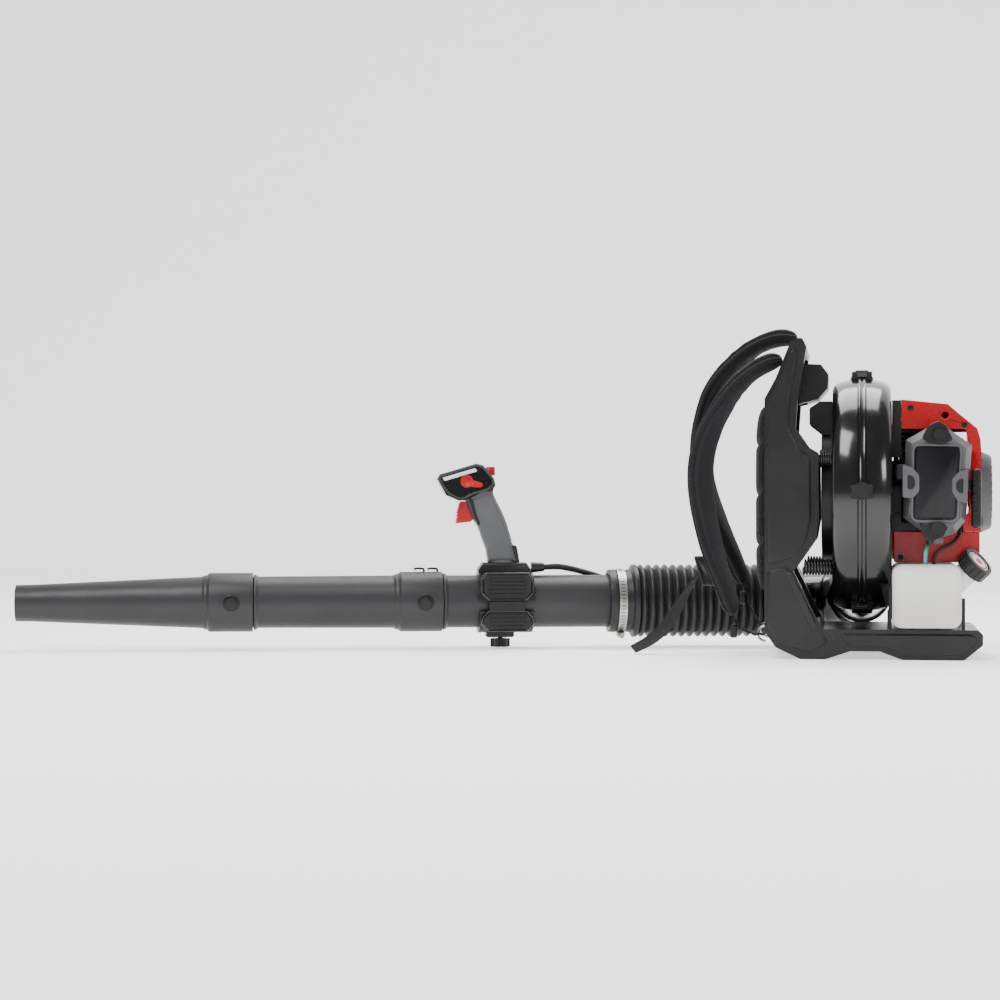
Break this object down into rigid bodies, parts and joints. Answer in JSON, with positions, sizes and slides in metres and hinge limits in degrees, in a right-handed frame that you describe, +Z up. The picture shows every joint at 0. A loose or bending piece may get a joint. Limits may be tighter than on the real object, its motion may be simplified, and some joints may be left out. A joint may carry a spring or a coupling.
{
  "type": "backpack leaf blower",
  "caption": "Petrol backpack leaf blower: moulded pack frame with straps, fan and engine, bellows hose, and a three-part air pipe with a pistol control grip.",
  "frame": {"origin": "centre of the rear foot's underside, on the pack's middle plane", "axes": "+Z up, -X the way the wearer faces, +Y the side of the air pipe (the wearer's right)"},
  "size_m": [1.4856, 0.4465, 0.494],
  "materials": {
    "frame_plastic": "satin",
    "mesh_fabric": "matt",
    "strap_fabric": "matt",
    "webbing": "matt",
    "black_plastic": "satin",
    "gloss_black": "gloss",
    "impeller_plastic": "satin",
    "tube_plastic": "satin",
    "hose_rubber": "satin",
    "red_plastic": "semi gloss",
    "grey_plastic": "satin",
    "bezel_plastic": "semi gloss",
    "tank_plastic": "translucent",
    "teal_line": "gloss",
    "black_line": "satin",
    "steel": "plated",
    "black_metal": "satin",
    "cast_aluminium": "as cast",
    "muffler_steel": "heat stained",
    "filter_paper": "pleated"
  },
  "bodies": {
    "pack": {"backpack_frame": "frame_plastic", "carry_handle": "frame_plastic", "back_pad": "mesh_fabric", "strap_left": "strap_fabric", "strap_right": "strap_fabric", "harness_webbing": "webbing", "ladder_buckles": "black_plastic", "strap_hooks": "steel", "isolator_springs": "steel", "volute_front": "gloss_black", "volute_rear": "gloss_black", "volute_clips": "black_plastic", "intake_guard": "black_plastic", "outlet_elbow": "gloss_black", "elbow_clamp": "steel", "hose_rear": "hose_rubber", "crankcase": "cast_aluminium", "cylinder": "cast_aluminium", "spark_plug": "steel", "muffler": "muffler_steel", "muffler_guard": "black_metal", "ignition_coil": "black_plastic", "carburettor": "cast_aluminium", "air_cleaner_backing": "black_plastic", "air_filter": "filter_paper", "air_cleaner_cover": "grey_plastic", "cover_panel": "gloss_black", "engine_cover": "red_plastic", "lower_shroud": "red_plastic", "rear_shroud": "red_plastic", "recoil_housing": "grey_plastic", "fuel_tank": "tank_plastic", "supply_line": "teal_line", "return_line": "black_line", "mounting_brackets": "black_metal"},
    "rotor": {"impeller": "impeller_plastic", "crankshaft": "steel", "flywheel": "cast_aluminium"},
    "starter_pulley": {"starter_pulley": "black_plastic"},
    "starter_grip": {"starter_grip": "black_plastic"},
    "fuel_cap": {"fuel_cap": "black_plastic"},
    "cover_knob_top": {"cover_knob_top": "black_plastic"},
    "cover_knob_bottom": {"cover_knob_bottom": "black_plastic"},
    "choke_lever": {"choke_lever": "black_plastic"},
    "hose_middle": {"hose_front": "hose_rubber"},
    "rear_tube": {"rear_tube": "tube_plastic", "hose_cuff": "tube_plastic", "hose_clamp": "steel", "throttle_conduit": "black_plastic"},
    "middle_tube": {"middle_tube": "tube_plastic"},
    "nozzle": {"nozzle": "tube_plastic"},
    "handle": {"clamp_upper": "black_plastic", "clamp_lower": "black_plastic", "grip_near_half": "grey_plastic", "grip_far_half": "grey_plastic", "head_bezel": "bezel_plastic"},
    "clamp_knob": {"clamp_knob": "black_plastic"},
    "trigger": {"trigger": "red_plastic"},
    "cruise_lever": {"cruise_lever": "red_plastic"},
    "stop_switch": {"stop_switch": "red_plastic"}
  },
  "joints": [
    {"name": "rotor_spin", "type": "hinge", "parent": "pack", "child": "rotor", "pos_m": [-0.02, 0, 0.244], "axis": [1, 0, 0], "continuous": true},
    {"name": "starter_pull", "type": "slide", "parent": "pack", "child": "starter_grip", "axis": [0, -1, 0], "range_m": [0, 0.5], "stiffness_N_per_m": 8, "springref_m": -0.25},
    {"name": "starter_pulley_spin", "type": "hinge", "parent": "pack", "child": "starter_pulley", "pos_m": [0.073, 0, 0.244], "axis": [1, 0, 0], "range_deg": [0, 1000]},
    {"name": "fuel_cap_turn", "type": "hinge", "parent": "pack", "child": "fuel_cap", "pos_m": [0.051, -0.1145, 0.134], "axis": [0.659, -0.3625, 0.659], "range_deg": [0, 270]},
    {"name": "cover_knob_top_turn", "type": "hinge", "parent": "pack", "child": "cover_knob_top", "pos_m": [0.003, -0.155, 0.325], "axis": [0, -1, 0], "range_deg": [0, 360]},
    {"name": "cover_knob_bottom_turn", "type": "hinge", "parent": "pack", "child": "cover_knob_bottom", "pos_m": [0.001, -0.155, 0.192], "axis": [0, -1, 0], "range_deg": [0, 360]},
    {"name": "choke_turn", "type": "hinge", "parent": "pack", "child": "choke_lever", "pos_m": [-0.04, -0.066, 0.272], "axis": [1, 0, 0], "range_deg": [0, 50]},
    {"name": "hose_lift", "type": "hinge", "parent": "pack", "child": "hose_middle", "pos_m": [-0.26797, 0.19065, 0.07318], "axis": [-0.2419, 0.9703, 0], "range_deg": [-15, 45], "deforming": ["hose_rear"]},
    {"name": "hose_swing", "type": "hinge", "parent": "hose_middle", "child": "rear_tube", "pos_m": [-0.39605, 0.15871, 0.07318], "axis": [0, 0, 1], "range_deg": [-20, 20], "deforming": ["hose_front"]},
    {"name": "handle_slide", "type": "slide", "parent": "rear_tube", "child": "handle", "axis": [-0.9703, -0.2419, 0], "range_m": [-0.05, 0.045], "deforming": ["throttle_conduit"]},
    {"name": "clamp_knob_turn", "type": "hinge", "parent": "handle", "child": "clamp_knob", "pos_m": [-0.66773, 0.09098, 0.01318], "axis": [0, 0, -1], "range_deg": [0, 360]},
    {"name": "trigger_squeeze", "type": "hinge", "parent": "handle", "child": "trigger", "pos_m": [-0.72498, 0.0767, 0.22618], "axis": [0.2419, -0.9703, 0], "range_deg": [0, 16], "stiffness_Nm_per_rad": 0.6},
    {"name": "cruise_turn", "type": "hinge", "parent": "handle", "child": "cruise_lever", "pos_m": [-0.71543, 0.05744, 0.26118], "axis": [0.2419, -0.9703, 0], "range_deg": [0, 75]},
    {"name": "stop_press", "type": "slide", "parent": "handle", "child": "stop_switch", "axis": [0, 0, -1], "range_m": [0, 0.003], "stiffness_N_per_m": 400},
    {"name": "middle_tube_twist", "type": "hinge", "parent": "rear_tube", "child": "middle_tube", "pos_m": [-0.78708, 0.06122, 0.07318], "axis": [-0.9703, -0.2419, 0], "range_deg": [0, 30]},
    {"name": "nozzle_twist", "type": "hinge", "parent": "middle_tube", "child": "nozzle", "pos_m": [-1.07816, -0.01136, 0.07318], "axis": [-0.9703, -0.2419, 0], "range_deg": [0, 30]}
  ],
  "couplings": [
    {"joint": "starter_pulley_spin", "follows": "starter_pull", "rad_per_m": 33.333}
  ]
}
